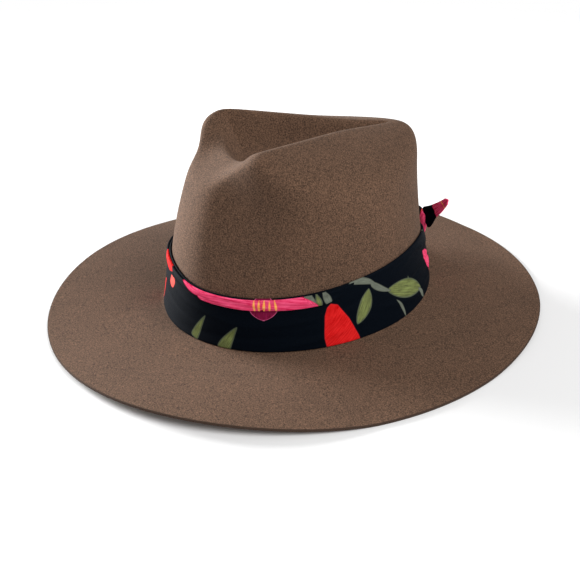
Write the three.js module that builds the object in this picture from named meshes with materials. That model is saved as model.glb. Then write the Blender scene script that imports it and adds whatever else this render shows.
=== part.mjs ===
// A wool felt hat: a creased teardrop crown pinched at the front, a wide flat brim with a raw edge,
// and a folded scarf tied round the crown. Millimetres, +Z up, the front of the hat towards -Y,
// the wearer's left towards +X. The origin is under the middle of the brim, on the surface it rests on.

import * as THREE from 'three';

// Driving dimensions, in millimetres and degrees
const FELT = 2;
const HEAD_HALF_WIDTH = 87;
const HEAD_HALF_LENGTH = 103;
const CROWN_BACK_SHIFT = 3.5;
const BRIM_HALF_WIDTH = 174.3;
const BRIM_HALF_LENGTH = 190.2;
const BREAK_RADIUS = 6;
const CROWN_RISE = 5.1;
const LEAN_FORWARD = 2.05;
const LEAN_LEFT = 1;
const GAP = 0.35;

// Heights of the three wall rings above the foot of the crown
const WALL_RINGS = [36, 68, 98];

// The crown's sections, from the front round to the back; the other side mirrors them.
// angle is measured from the front. wall holds the wall's radii at the three rings, and shoulder is
// [radius, height]. rim is the rim of the crease as [left, back, height]; lip says how far out and
// how far down from it the rim's outer lip lies. floor is the height of the crease's floor.
const CROWN_SECTIONS = [
  { angle: 0, wall: [99, 91, 80], shoulder: [75.5, 105], rim: [0, -47, 117], lip: [10, 6], floor: 103 },
  { angle: 10, wall: [99, 91, 80.5], shoulder: [76, 106], rim: [12, -47, 117], lip: [10, 6], floor: 103 },
  { angle: 19, wall: [98, 90, 80], shoulder: [75, 108], rim: [22, -46.5, 118.5], lip: [10, 5], floor: 103 },
  { angle: 28, wall: [94.5, 83.5, 73], shoulder: [70, 115], rim: [32, -45, 122.5], lip: [9, 4], floor: 103 },
  { angle: 38, wall: [91, 78, 69], shoulder: [74, 122], rim: [41.5, -41.5, 128.5], lip: [7, 2], floor: 103 },
  { angle: 51, wall: [88.5, 80.5, 77], shoulder: [84.5, 123], rim: [49, -36, 134], lip: [4, 1], floor: 103 },
  { angle: 70, wall: [86.5, 86, 82.5], shoulder: [79, 116], rim: [42.5, -22, 132.4], lip: [4, 1], floor: 103 },
  { angle: 95, wall: [85, 83, 80], shoulder: [76, 112], rim: [30.5, 2, 129.6], lip: [4, 1], floor: 104 },
  { angle: 122, wall: [88, 87, 83], shoulder: [77, 110], rim: [17.5, 28, 126.6], lip: [4, 1], floor: 105 },
  { angle: 150, wall: [97, 92, 89], shoulder: [87, 112], rim: [7, 54, 122], lip: [4, 1], floor: 107 },
  { angle: 180, wall: [101, 97, 97], shoulder: [106, 115], rim: [0, 92, 117], lip: [5, 1], floor: 110 },
];
const INNER_LIP = 3;
const CREASE_MIDDLE = new THREE.Vector3(0, -2, 104);
const NET_SWELL = 1.006;

// Steps of the felt's grid
const COLUMNS = 64;
const CROWN_STEPS = 26;
const BREAK_STEPS = [0, 0.02, 0.06, 0.12];
const BRIM_STEPS = [0.12, 0.34, 0.56, 0.76, 0.92, 1];

// The scarf: the heights of the band's top edge every 30 degrees from the front round by the
// wearer's left, the band's cloth and the narrower fold that lies over its top
const BAND_TOPS = [44, 35.5, 39.5, 44.5, 48, 52, 46, 44, 43, 43, 44, 46];
const BAND_FOOT = 1.2;
const BAND_CLOTH = 2.4;
const BAND_FLARE = 3.6;
const KNOT_ANGLE = 178;
const KNOT_HEIGHT = 32;
const GATHER_ANGLE = 26;
const GATHER_DEPTH = 9;
const LAYER_GAP = 0.3;
const FOLD_START = -120;
const FOLD_END = 92;
const FOLD_NARROW = 5.4;
const FOLD_WIDE = 10.6;
const FOLD_CLOTH = 1.5;
const FOLD_STEPS = 40;
const FOLD_TAPERS = [5, 14];
const KNOT = { halfWidth: 11, halfHeight: 13, depth: 9 };
const TAIL_CLOTH = 1.5;

const rad = THREE.MathUtils.degToRad;
const lean = new THREE.Matrix4()
  .makeTranslation(0, 0, CROWN_RISE)
  .multiply(new THREE.Matrix4().makeRotationY(rad(LEAN_LEFT)))
  .multiply(new THREE.Matrix4().makeRotationX(rad(LEAN_FORWARD)));

// Radius of an oval at an angle from the front
function ovalRadius(angle, halfWidth, halfLength) {
  return 1 / Math.hypot(Math.sin(angle) / halfWidth, Math.cos(angle) / halfLength);
}

function polar(radius, angle, height, back = 0) {
  return new THREE.Vector3(radius * Math.sin(angle), back - radius * Math.cos(angle), height);
}

// The four weights of a uniform cubic B-spline, 0 <= t <= 1
function weights(t) {
  const s = 1 - t;
  const shares = [s ** 3, 3 * t ** 3 - 6 * t * t + 4, 3 * s ** 3 - 6 * s * s + 4, t ** 3];
  return shares.map((share) => share / 6);
}

function blend(points, t) {
  const w = weights(t);
  const sum = new THREE.Vector3();
  points.forEach((point, i) => sum.addScaledVector(point, w[i]));
  return sum;
}

// The crown's control net: one column a section, mirrored, and one ring a height. The rim of the
// crease is two rings, a lip outside it and one inside. The ring below the foot carries the wall on.
function crownNet() {
  const mirrored = CROWN_SECTIONS.slice(1, -1).reverse().map((section) => (
    { ...section, angle: -section.angle, rim: [-section.rim[0], section.rim[1], section.rim[2]] }
  ));
  return [...CROWN_SECTIONS, ...mirrored].map((section) => {
    const angle = rad(section.angle);
    const oval = NET_SWELL * ovalRadius(angle, HEAD_HALF_WIDTH, HEAD_HALF_LENGTH);
    const foot = polar(oval, angle, 0, CROWN_BACK_SHIFT);
    const wall = section.wall.map((radius, i) => polar(radius, angle, WALL_RINGS[i], CROWN_BACK_SHIFT));
    const shoulder = polar(section.shoulder[0], angle, section.shoulder[1], CROWN_BACK_SHIFT);
    const rim = new THREE.Vector3(...section.rim);
    const out = shoulder.clone().sub(rim).setZ(0).normalize();
    const outerLip = rim.clone().addScaledVector(out, section.lip[0]);
    outerLip.z -= section.lip[1];
    const innerLip = rim.clone().addScaledVector(out, -INNER_LIP);
    const valley = new THREE.Vector3(0.2 * rim.x, 0.72 * rim.y, section.floor);
    const slope = rim.clone().lerp(valley, 0.4).setZ(rim.z - 0.75 * (rim.z - section.floor));
    const below = foot.clone().multiplyScalar(2).sub(wall[0]);
    const middle = [CREASE_MIDDLE, CREASE_MIDDLE, CREASE_MIDDLE];
    return [below, foot, ...wall, shoulder, outerLip, innerLip, slope, valley, ...middle];
  });
}

const NET = crownNet();
const RINGS = NET[0].length - 3;

// A point of the crown's outer face: around 0 to 1 from the front, up 0 at the foot to RINGS in
// the middle of the crease
function crownPoint(around, up) {
  const place = (((around % 1) + 1) % 1) * NET.length;
  const column = Math.floor(place);
  const ring = Math.min(Math.floor(up), RINGS - 1);
  const across = [-1, 0, 1, 2].map((i) => {
    const rings = NET[(column + i + NET.length) % NET.length];
    return blend(rings.slice(ring, ring + 4), up - ring);
  });
  return blend(across, place - column);
}

// Level outward direction of the wall
function outward(around, up) {
  const step = 0.002;
  const along = crownPoint(around + step, up).sub(crownPoint(around - step, up));
  return new THREE.Vector3(along.y, -along.x, 0).normalize();
}

// How far the break between crown and brim stands out from the wall at a height
function breakOffset(height) {
  const left = Math.max(BREAK_RADIUS - height, 0);
  return BREAK_RADIUS - Math.sqrt(BREAK_RADIUS ** 2 - Math.min(left, BREAK_RADIUS) ** 2);
}

// The wall with the rounded break at its foot, moved out by an offset
function wallPoint(around, up, offset = 0) {
  const point = crownPoint(around, up);
  return point.addScaledVector(outward(around, up), breakOffset(point.z) + offset);
}

// The place on the wall at a height, found by halving
function upAtHeight(around, height) {
  let low = 0;
  let high = 3;
  for (let i = 0; i < 24; i += 1) {
    const middle = (low + high) / 2;
    if (crownPoint(around, middle).z < height) low = middle;
    else high = middle;
  }
  return (low + high) / 2;
}

// Height of the brim's edge: almost flat, with four shallow waves
function brimEdgeHeight(angle) {
  return 3.8 + 1.4 * Math.cos(angle) + 0.5 * Math.cos(2 * angle) + 1.3 * Math.sin(2 * angle)
    - 2.3 * Math.cos(4 * angle);
}

function brimPoint(around, out) {
  const foot = wallPoint(around, 0).applyMatrix4(lean);
  const angle = Math.atan2(foot.x, -foot.y);
  const edge = polar(ovalRadius(angle, BRIM_HALF_WIDTH, BRIM_HALF_LENGTH), angle, brimEdgeHeight(angle));
  const point = foot.clone().lerp(edge, out);
  point.z = foot.z + (edge.z - foot.z) * out ** 1.3;
  return point;
}

// A closed body from rows of points; each row runs round once, and the first and last are single points
function closedBody(rows) {
  const positions = [];
  const index = [];
  const starts = rows.map((row) => {
    const start = positions.length / 3;
    row.forEach((point) => positions.push(point.x, point.y, point.z));
    return start;
  });
  for (let i = 0; i + 1 < rows.length; i += 1) {
    const count = Math.max(rows[i].length, rows[i + 1].length);
    for (let j = 0; j < count; j += 1) {
      const a = starts[i] + (j % rows[i].length);
      const b = starts[i] + ((j + 1) % rows[i].length);
      const c = starts[i + 1] + (j % rows[i + 1].length);
      const d = starts[i + 1] + ((j + 1) % rows[i + 1].length);
      if (rows[i].length > 1) index.push(a, c, b);
      if (rows[i + 1].length > 1) index.push(b, c, d);
    }
  }
  return indexed(positions, index);
}

// A closed ring from sections: the sections run round the hat and the last joins the first
function closedRing(sections) {
  const size = sections[0].length;
  const positions = sections.flat().flatMap((point) => [point.x, point.y, point.z]);
  const index = [];
  sections.forEach((section, i) => {
    const next = (i + 1) % sections.length;
    for (let j = 0; j < size; j += 1) {
      const k = (j + 1) % size;
      index.push(i * size + j, i * size + k, next * size + j);
      index.push(i * size + k, next * size + k, next * size + j);
    }
  });
  return indexed(positions, index);
}

function indexed(positions, index) {
  const geometry = new THREE.BufferGeometry();
  geometry.setAttribute('position', new THREE.Float32BufferAttribute(positions, 3));
  geometry.setIndex(index);
  geometry.computeVertexNormals();
  return geometry;
}

// The felt: one skin, crown and brim together, with its inner face one felt thickness inside
function feltGeometry() {
  const turns = Array.from({ length: COLUMNS }, (_, j) => j / COLUMNS);
  const rise = Array.from({ length: CROWN_STEPS }, (_, i) => 0.3 + ((RINGS - 0.3) * i) / CROWN_STEPS);
  const ups = [...BREAK_STEPS, ...rise].reverse();
  const outer = [
    ...ups.map((up) => turns.map((around) => wallPoint(around, up).applyMatrix4(lean))),
    ...BRIM_STEPS.map((out) => turns.map((around) => brimPoint(around, out))),
  ];
  const top = crownPoint(0, RINGS).applyMatrix4(lean);
  const inner = outer.map((row, i) => row.map((point, j) => {
    const before = i > 0 ? outer[i - 1][j] : top;
    const after = outer[Math.min(i + 1, outer.length - 1)][j];
    const down = after.clone().sub(before);
    const along = row[(j + 1) % COLUMNS].clone().sub(row[(j + COLUMNS - 1) % COLUMNS]);
    const normal = down.cross(along).normalize();
    return point.clone().addScaledVector(normal, -FELT);
  }));
  outer.slice(-BRIM_STEPS.length - 1).forEach((row, i) => row.forEach((point, j) => {
    const under = inner[inner.length - BRIM_STEPS.length - 1 + i][j];
    point.z = Math.max(point.z, FELT);
    under.set(i > 0 ? point.x : under.x, i > 0 ? point.y : under.y, point.z - FELT);
  }));
  const innerTop = top.clone();
  innerTop.z -= FELT;
  return closedBody([[top], ...outer, ...inner.reverse(), [innerTop]]);
}

// 0 away from the knot, 1 at it
function gather(angle) {
  const away = Math.abs(((angle - KNOT_ANGLE + 540) % 360) - 180);
  return Math.exp(-((away / GATHER_ANGLE) ** 2));
}

function angleOf(around) {
  const point = crownPoint(around, 1);
  return THREE.MathUtils.radToDeg(Math.atan2(point.x, CROWN_BACK_SHIFT - point.y));
}

// Height of the band's top edge at an angle: a smooth curve over the table
function bandTop(angle) {
  const place = (((angle / 360) % 1) + 1) % 1 * BAND_TOPS.length;
  const step = Math.floor(place);
  return weights(place - step).reduce((sum, weight, i) => (
    sum + weight * BAND_TOPS[(step + i - 1 + BAND_TOPS.length) % BAND_TOPS.length]
  ), 0);
}

// A point of the scarf: part 0 at the foot to 1 at the top edge, offset from the wall's face
function scarfPoint(around, part, offset) {
  const angle = angleOf(around);
  const pull = gather(angle) * GATHER_DEPTH;
  const foot = BAND_FOOT + 0.6 * pull;
  const height = foot + (bandTop(angle) - pull - foot) * part;
  const up = upAtHeight(around, height);
  const point = crownPoint(around, up);
  const flare = BAND_FLARE * (1 - part) ** 2.5;
  return point.addScaledVector(outward(around, up), GAP + flare + offset).applyMatrix4(lean);
}

// Thickness of the band's folded cloth at a part of its height
function bulge(part) {
  return BAND_CLOTH * (0.72 + 0.28 * Math.sin(Math.PI * part));
}

// The band's section: the inner face up, the rolled top edge, then the outer face down
function bandSection(around) {
  const inner = [0, 0.06, 0.18, 0.45, 0.75, 0.97].map((part) => scarfPoint(around, part, 0));
  const outer = [1, 0.75, 0.45, 0.18, 0.02].map((part) => scarfPoint(around, part, bulge(part)));
  return [...inner, ...outer];
}

// The fold over the band's top: a strip that widens towards its end, with both ends tapered. Each
// section goes up the outer face and down the inner one, which lies a small gap outside the band.
function foldGeometry() {
  const rows = Array.from({ length: FOLD_STEPS - 1 }, (_, i) => {
    const share = (i + 1) / FOLD_STEPS;
    const angle = FOLD_START + (FOLD_END - FOLD_START) * share;
    const around = aroundAt(angle);
    const ends = Math.min(1, FOLD_TAPERS[0] * share, FOLD_TAPERS[1] * (1 - share));
    const width = FOLD_NARROW + (FOLD_WIDE - FOLD_NARROW) * share ** 4;
    const deep = (width / bandTop(angle)) * ends ** 0.6;
    const cloth = FOLD_CLOTH * ends + LAYER_GAP;
    const low = 1 - deep;
    const half = 1 - deep / 2;
    const at = (part, height) => scarfPoint(around, part, bulge(part) + LAYER_GAP + height);
    return [
      at(low + 0.01, cloth * 0.9),
      at(half, cloth),
      at(0.99, cloth * 0.7),
      at(0.995, 0),
      at(half, 0),
      at(low, 0),
    ];
  });
  const middle = (row) => row.reduce((sum, point) => sum.add(point), new THREE.Vector3())
    .divideScalar(row.length);
  return closedBody([[middle(rows[0])], ...rows, [middle(rows[rows.length - 1])]]);
}

// The turn of the crown's net that lies at an angle from the front, found by halving
function aroundAt(angle) {
  const target = Math.abs(angle);
  let low = 0;
  let high = 0.5;
  for (let i = 0; i < 24; i += 1) {
    const middle = (low + high) / 2;
    if (Math.abs(angleOf(middle)) < target) low = middle;
    else high = middle;
  }
  return angle < 0 ? 1 - (low + high) / 2 : (low + high) / 2;
}

// The knot's own frame on the wall: side along the band, rise up the wall, out away from it
function knotFrame() {
  const around = aroundAt(KNOT_ANGLE);
  const up = upAtHeight(around, KNOT_HEIGHT);
  const origin = crownPoint(around, up);
  const out = outward(around, up);
  const rise = new THREE.Vector3(0, 0, 1);
  const side = new THREE.Vector3().crossVectors(rise, out).normalize();
  return new THREE.Matrix4().makeBasis(side, rise, out).setPosition(origin).premultiply(lean);
}

const KNOT_BACK = GAP + BAND_CLOTH + 0.6;

// The knot: a pillow with a waist where the cloth wraps round it
function knotGeometry() {
  const frame = knotFrame();
  const rows = [];
  const rings = 8;
  const sides = 16;
  for (let i = 1; i < rings; i += 1) {
    const tilt = (Math.PI * i) / rings;
    const row = [];
    for (let j = 0; j < sides; j += 1) {
      const turn = (2 * Math.PI * j) / sides;
      const x = KNOT.halfWidth * Math.cos(tilt) * -1;
      const swell = Math.sin(tilt) ** 0.8;
      const y = KNOT.halfHeight * swell * Math.cos(turn);
      const z = KNOT_BACK + KNOT.depth * 0.5 * (1 - swell * Math.sin(turn));
      row.push(new THREE.Vector3(x, y, z).applyMatrix4(frame));
    }
    rows.push(row);
  }
  const pole = (x) => [new THREE.Vector3(x, 0, KNOT_BACK + KNOT.depth * 0.5).applyMatrix4(frame)];
  return closedBody([pole(-KNOT.halfWidth), ...rows, pole(KNOT.halfWidth)]);
}

// A free end of the scarf: a flat tapering strip through stations in the knot's frame.
// at is [along the band, up, out]; half is its half width, and lie is the direction of its width.
function tailGeometry(stations) {
  const frame = knotFrame();
  const rows = stations.map(({ at, half, lie }, i) => {
    const here = new THREE.Vector3(...at);
    const ahead = new THREE.Vector3(...stations[Math.min(i + 1, stations.length - 1)].at);
    const behind = new THREE.Vector3(...stations[Math.max(i - 1, 0)].at);
    const along = ahead.sub(behind).normalize();
    const wide = new THREE.Vector3(...lie);
    wide.addScaledVector(along, -wide.dot(along)).normalize();
    const thick = new THREE.Vector3().crossVectors(along, wide);
    return Array.from({ length: 10 }, (_, j) => {
      const turn = (2 * Math.PI * j) / 10;
      return here.clone()
        .addScaledVector(wide, half * Math.cos(turn))
        .addScaledVector(thick, -TAIL_CLOTH * Math.sin(turn))
        .applyMatrix4(frame);
    });
  });
  const first = new THREE.Vector3(...stations[0].at).applyMatrix4(frame);
  const last = new THREE.Vector3(...stations[stations.length - 1].at).applyMatrix4(frame);
  return closedBody([[first], ...rows, [last]]);
}

const LEFT_TAIL = [
  { at: [-11, 7.4, 10], half: 4.6, lie: [1.4, 1, 0] },
  { at: [-11.8, 8.6, 10.8], half: 7.4, lie: [1.4, 1, 0] },
  { at: [-14.6, 12.6, 12.8], half: 6, lie: [1.4, 1, 0] },
  { at: [-18.2, 16.5, 15], half: 4.8, lie: [1.2, 1, 0] },
  { at: [-21, 20.5, 17.5], half: 3.4, lie: [1, 1, 0] },
  { at: [-24.2, 25.2, 19.5], half: 1.4, lie: [1, 1, 0] },
];
const RIGHT_TAIL = [
  { at: [11.4, -2.5, 8.1], half: 3, lie: [0, 1, 0.1] },
  { at: [13.4, -2.9, 8.6], half: 3.8, lie: [0, 1, 0.1] },
  { at: [17.5, -5.5, 11], half: 5.8, lie: [-0.1, 1, 0] },
  { at: [25, -10, 13], half: 7, lie: [-0.2, 1, 0] },
  { at: [35, -13, 16], half: 5.5, lie: [-0.2, 1, 0] },
  { at: [42, -15, 18], half: 1.2, lie: [-0.2, 1, 0] },
];

const feltMaterial = new THREE.MeshStandardMaterial({ color: 0x7b6252, roughness: 0.95, metalness: 0 });
const scarfMaterial = new THREE.MeshStandardMaterial({ color: 0x14161b, roughness: 0.75, metalness: 0 });
const pinkMaterial = new THREE.MeshStandardMaterial({ color: 0xd8355f, roughness: 0.75, metalness: 0 });

const hat = new THREE.Group();

function addPiece(name, geometry, material) {
  const mesh = new THREE.Mesh(geometry, material);
  mesh.name = name;
  hat.add(mesh);
}

const bandSections = Array.from({ length: COLUMNS }, (_, j) => bandSection(j / COLUMNS));
addPiece('felt_body', feltGeometry(), feltMaterial);
addPiece('scarf_band', closedRing(bandSections), scarfMaterial);
addPiece('scarf_fold', foldGeometry(), scarfMaterial.clone());
addPiece('scarf_knot', knotGeometry(), pinkMaterial);
addPiece('scarf_tail_left', tailGeometry(LEFT_TAIL), scarfMaterial.clone());
addPiece('scarf_tail_right', tailGeometry(RIGHT_TAIL), scarfMaterial.clone());

export default hat;
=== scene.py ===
# A wool felt hat with a folded floral scarf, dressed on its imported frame. Metres, +Z up; the front
# of the hat faces -Y and the wearer's left is +X. Shapes are worked out in millimetres in the
# crown's own frame and then leaned and scaled.

import math

import bpy
import numpy as np
from bpy.props import FloatProperty, FloatVectorProperty, PointerProperty
from bpy.types import Operator, Panel, PropertyGroup
from mathutils import Matrix, Vector


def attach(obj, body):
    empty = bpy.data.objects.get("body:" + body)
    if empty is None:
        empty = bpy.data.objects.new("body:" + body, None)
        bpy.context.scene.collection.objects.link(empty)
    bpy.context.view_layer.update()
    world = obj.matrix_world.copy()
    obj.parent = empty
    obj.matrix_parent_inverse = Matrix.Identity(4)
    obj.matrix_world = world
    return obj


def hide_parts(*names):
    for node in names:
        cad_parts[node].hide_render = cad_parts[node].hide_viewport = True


bl_info = {
    "name": "Wool felt hat",
    "version": (1, 0, 0),
    "blender": (4, 5, 0),
    "location": "View3D > Sidebar > Hat",
    "description": "Builds a wide-brimmed felt hat with a knotted floral scarf",
    "category": "Object",
}

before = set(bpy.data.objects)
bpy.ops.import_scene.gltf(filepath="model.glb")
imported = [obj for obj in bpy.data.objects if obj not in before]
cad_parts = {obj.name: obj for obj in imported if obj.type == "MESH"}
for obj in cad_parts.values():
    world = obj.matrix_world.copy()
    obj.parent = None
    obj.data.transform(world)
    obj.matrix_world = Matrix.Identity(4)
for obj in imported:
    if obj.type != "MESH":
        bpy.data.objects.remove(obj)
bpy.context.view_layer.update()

# The hat's pieces, in the order in which their operators run
PIECES = ("materials", "felt_body", "band", "fold", "knot", "tails", "stage")

# Sizes that the frame's solids have too, in millimetres and degrees
HEAD_HALF_WIDTH = 87.0
HEAD_HALF_LENGTH = 103.0
CROWN_BACK_SHIFT = 3.5
BRIM_HALF_WIDTH = 174.3
BRIM_HALF_LENGTH = 190.2
# Height of the brim's edge. Columns: waves round the hat, cosine height, sine height
BRIM_EDGE_WAVES = ((0, 3.8, 0.0), (1, 1.4, 0.0), (2, 0.5, 1.3), (4, -2.3, 0.0))
BRIM_CURVE = 1.3
BREAK_RADIUS = 6.0
CROWN_RISE = 5.1
LEAN_FORWARD = 2.05
LEAN_LEFT = 1.0
RING_HEIGHTS = (36.0, 68.0, 98.0)
# The crease: its middle, the width and length of its floor as shares of the rim's, and how far
# from the rim to the floor its slope's ring lies, level and in height
VALLEY_MIDDLE = (0.0, -2.0, 104.0)
VALLEY_ACROSS = 0.2
VALLEY_ALONG = 0.72
SLOPE_SHARE = 0.4
SLOPE_DROP = 0.75
# The net's foot stands out a little, because a B-spline runs inside its net
NET_SWELL = 1.006

# Crown sections from the front round to the back, mirrored for the other side. Columns: angle,
# wall radius at the three ring heights, radius and height of the shoulder, the rim of the crease
# (x, y, height), how far out and how far down its outer lip lies, and the crease floor's height.
CROWN_SECTIONS = np.array([
    (0, 99, 91, 80, 75.5, 105, 0, -47, 117, 10, 6, 103),
    (10, 99, 91, 80.5, 76, 106, 12, -47, 117, 10, 6, 103),
    (19, 98, 90, 80, 75, 108, 22, -46.5, 118.5, 10, 5, 103),
    (28, 94.5, 83.5, 73, 70, 115, 32, -45, 122.5, 9, 4, 103),
    (38, 91, 79, 70, 73, 122, 42, -44, 128, 7, 2, 103),
    (51, 88.5, 78, 70.5, 80, 123, 51, -40, 133.5, 4, 1, 103),
    (70, 86.5, 84, 79, 78, 116, 42.5, -22, 132.4, 4, 1, 103),
    (95, 85, 83, 80, 76, 112, 30.5, 2, 129.6, 4, 1, 104),
    (122, 88, 87, 83, 77, 110, 17.5, 28, 126.6, 4, 1, 105),
    (150, 97, 92, 89, 87, 112, 7, 54, 122, 4, 1, 107),
    (180, 101, 97, 97, 106, 115, 0, 92, 117, 5, 1, 110),
], float)
# How far inside the crease's rim its inner lip lies
INNER_LIP = 3.0
# The crease's front end is turned a little towards the wearer's right, its back end isn't
CREASE_TURN = math.radians(-5.0)
# The rim is broader at the crease's two front corners: by how much, how many degrees from the
# front, and over how many
CORNER_ROLL = 10.0
CORNER_ANGLE = 33.0
CORNER_SPREAD = 14.0

# How often a search halves its span
HALVINGS = 24

# Heights of the band's top edge, every 30 degrees from the front round by the wearer's left
BAND_TOPS = np.array([44, 35.5, 39.5, 44.5, 48, 52, 46, 44, 43, 43, 44, 46])
BAND_FOOT = 1.2
BAND_CLOTH = 2.4
# The cloth's thickness at the band's two edges, as a share of that at its middle
BAND_THIN = 0.72
BAND_FLARE = 3.6
BAND_FLARE_POWER = 2.5
# Gap between the crown's wall and the cloth
GAP = 0.35
KNOT_ANGLE = 178.0
KNOT_HEIGHT = 32.0
# The band is drawn together near the knot: how far round, how deep at its top edge, and the
# share of that at its foot
GATHER_ANGLE = 26.0
GATHER_DEPTH = 9.0
GATHER_FOOT = 0.6
# The fold's two ends, its widths there, how fast its ends taper and how its width grows
FOLD_START = -120.0
FOLD_END = 92.0
FOLD_NARROW = 5.4
FOLD_WIDE = 10.6
FOLD_TAPERS = (5.0, 14.0)
FOLD_TAPER_POWER = 0.6
FOLD_WIDENING = 4
LAYER_GAP = 0.3
FOLD_CLOTH = 1.5
# Half the knot's width, height and depth, and how far its back lies from the crown's wall
KNOT_HALF = (11.0, 13.0, 4.5)
KNOT_BACK = GAP + BAND_CLOTH + 0.6


def turn_matrix(axis, degrees):
    """Turning matrix about the named axis, as a 3 by 3 array."""
    return np.array(Matrix.Rotation(math.radians(degrees), 3, axis))


LEAN = turn_matrix("Y", LEAN_LEFT) @ turn_matrix("X", LEAN_FORWARD)
MILLIMETRE = 0.001
UP = np.array([0.0, 0.0, 1.0])
# A direction times this is level
LEVEL = np.array([1.0, 1.0, 0.0])


def lean(points):
    """Crown frame to rest frame: the turn by the two leans, then the lift to the brim's height."""
    return points @ LEAN.T + UP * CROWN_RISE


def oval_radius(angle, half_width, half_length):
    """Radius of an oval at an angle: one over the root of (sin/width)^2 + (cos/length)^2."""
    return 1 / np.hypot(np.sin(angle) / half_width, np.cos(angle) / half_length)


def unit(vectors):
    """Vectors divided by their lengths."""
    return vectors / np.maximum(np.linalg.norm(vectors, axis=-1, keepdims=True), 1e-9)


def polar(radius, angle, height, back=0.0):
    """Points at a radius and an angle from the front, at a height, moved back along +Y."""
    radius, angle, height, back = np.broadcast_arrays(radius, angle, height, back)
    return np.stack([radius * np.sin(angle), back - radius * np.cos(angle), height], -1)


def spline_weights(t):
    """Four weights of a uniform cubic B-spline for t from 0 to 1, on a new last axis."""
    s = 1 - t
    return np.stack(
        [s**3, 3 * t**3 - 6 * t**2 + 4, -3 * t**3 + 3 * t**2 + 3 * t + 1, t**3], -1
    ) / 6


def turned_crease(crest):
    """Points of the crease's rim turned about the crown's middle: fully at the front, and not
    at all at the back end."""
    front, back = crest[:, 1].min(), crest[:, 1].max()
    turn = CREASE_TURN * (back - crest[:, 1]) / (back - front)
    x = crest[:, 0] * np.cos(turn) - crest[:, 1] * np.sin(turn)
    y = crest[:, 0] * np.sin(turn) + crest[:, 1] * np.cos(turn)
    return np.stack([x, y, crest[:, 2]], -1)


def crown_net():
    """Control net of the crown: one column a section, mirrored, and one ring a height. The rim of
    the crease is a roll between two rings, one outside it and one inside. The first ring is the
    mirror of the third in the second, and the last three are all the middle of the crease."""
    table = np.concatenate([CROWN_SECTIONS, CROWN_SECTIONS[-2:0:-1]])
    side = np.r_[np.ones(len(CROWN_SECTIONS)), -np.ones(len(CROWN_SECTIONS) - 2)]
    (degrees, low, middle, high, shoulder_radius, shoulder_height,
     rim_x, rim_y, rim_height, lip_out, lip_down, floor) = table.T
    angle = np.radians(degrees) * side
    foot_radius = NET_SWELL * oval_radius(angle, HEAD_HALF_WIDTH, HEAD_HALF_LENGTH)
    foot = polar(foot_radius, angle, 0, CROWN_BACK_SHIFT)
    walls = [
        polar(radius, angle, height, CROWN_BACK_SHIFT)
        for radius, height in zip((low, middle, high), RING_HEIGHTS)
    ]
    shoulder = polar(shoulder_radius, angle, shoulder_height, CROWN_BACK_SHIFT)
    crest = turned_crease(np.stack([rim_x * side, rim_y, rim_height], -1))
    out = unit((shoulder - crest) * LEVEL)
    outer_lip = crest + out * lip_out[:, None] - UP * lip_down[:, None]
    corner = CORNER_ROLL * np.exp(-(((degrees - CORNER_ANGLE) / CORNER_SPREAD) ** 2))
    inner_lip = crest - out * (INNER_LIP + corner)[:, None]
    valley = np.stack([VALLEY_ACROSS * crest[:, 0], VALLEY_ALONG * crest[:, 1], floor], -1)
    slope = inner_lip + SLOPE_SHARE * (valley - inner_lip)
    slope[:, 2] = rim_height - SLOPE_DROP * (rim_height - floor)
    centre = np.broadcast_to(VALLEY_MIDDLE, crest.shape)
    below = 2 * foot - walls[0]
    rings = [below, foot, *walls, shoulder, outer_lip, inner_lip, slope, valley]
    return np.stack(rings + [centre] * 3, 1)


NET = crown_net()
NET_COLUMNS = NET.shape[0]
RINGS = NET.shape[1] - 3


def crown(around, up):
    """Outer face of the crown: a bicubic B-spline over the net. around runs 0 to 1 from the
    front towards the wearer's left, and up from 0 at the foot to RINGS at the crease's middle."""
    around, up = np.broadcast_arrays(np.asarray(around, float), np.asarray(up, float))
    place = np.mod(around, 1) * NET_COLUMNS
    column = np.floor(place).astype(int)
    ring = np.clip(np.floor(up).astype(int), 0, RINGS - 1)
    columns = (column[..., None] + np.arange(-1, 3)) % NET_COLUMNS
    rings = ring[..., None] + np.arange(4)
    patch = NET[columns[..., :, None], rings[..., None, :]]
    return np.einsum(
        "...i,...j,...ijk->...k", spline_weights(place - column), spline_weights(up - ring), patch
    )


def outward(around, up):
    """Level outward direction of the wall: the tangent round the crown turned a quarter turn."""
    step = 0.002
    along = crown(around + step, up) - crown(around - step, up)
    return unit(np.stack([along[..., 1], -along[..., 0], 0 * along[..., 0]], -1))


def wall(around, up, offset=0.0):
    """The wall moved out by an offset, with the rounded break at its foot: a quarter circle."""
    point = crown(around, up)
    left = np.clip(BREAK_RADIUS - point[..., 2], 0, BREAK_RADIUS)
    spread = BREAK_RADIUS - np.sqrt(BREAK_RADIUS**2 - left**2)
    return point + outward(around, up) * (spread + offset)[..., None]


def up_at_height(around, height):
    """The wall's up value at a height, found by halving the span below the third ring."""
    around, height = np.broadcast_arrays(around, height)
    low, high = np.zeros(around.shape), np.full(around.shape, float(len(RING_HEIGHTS)))
    for _ in range(HALVINGS):
        middle = (low + high) / 2
        below = crown(around, middle)[..., 2] < height
        low, high = np.where(below, middle, low), np.where(below, high, middle)
    return (low + high) / 2


def brim_edge_height(angle):
    """Height of the brim's edge: a mean and shallow waves round the hat."""
    return sum(
        cosine * np.cos(waves * angle) + sine * np.sin(waves * angle)
        for waves, cosine, sine in BRIM_EDGE_WAVES
    )


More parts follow.
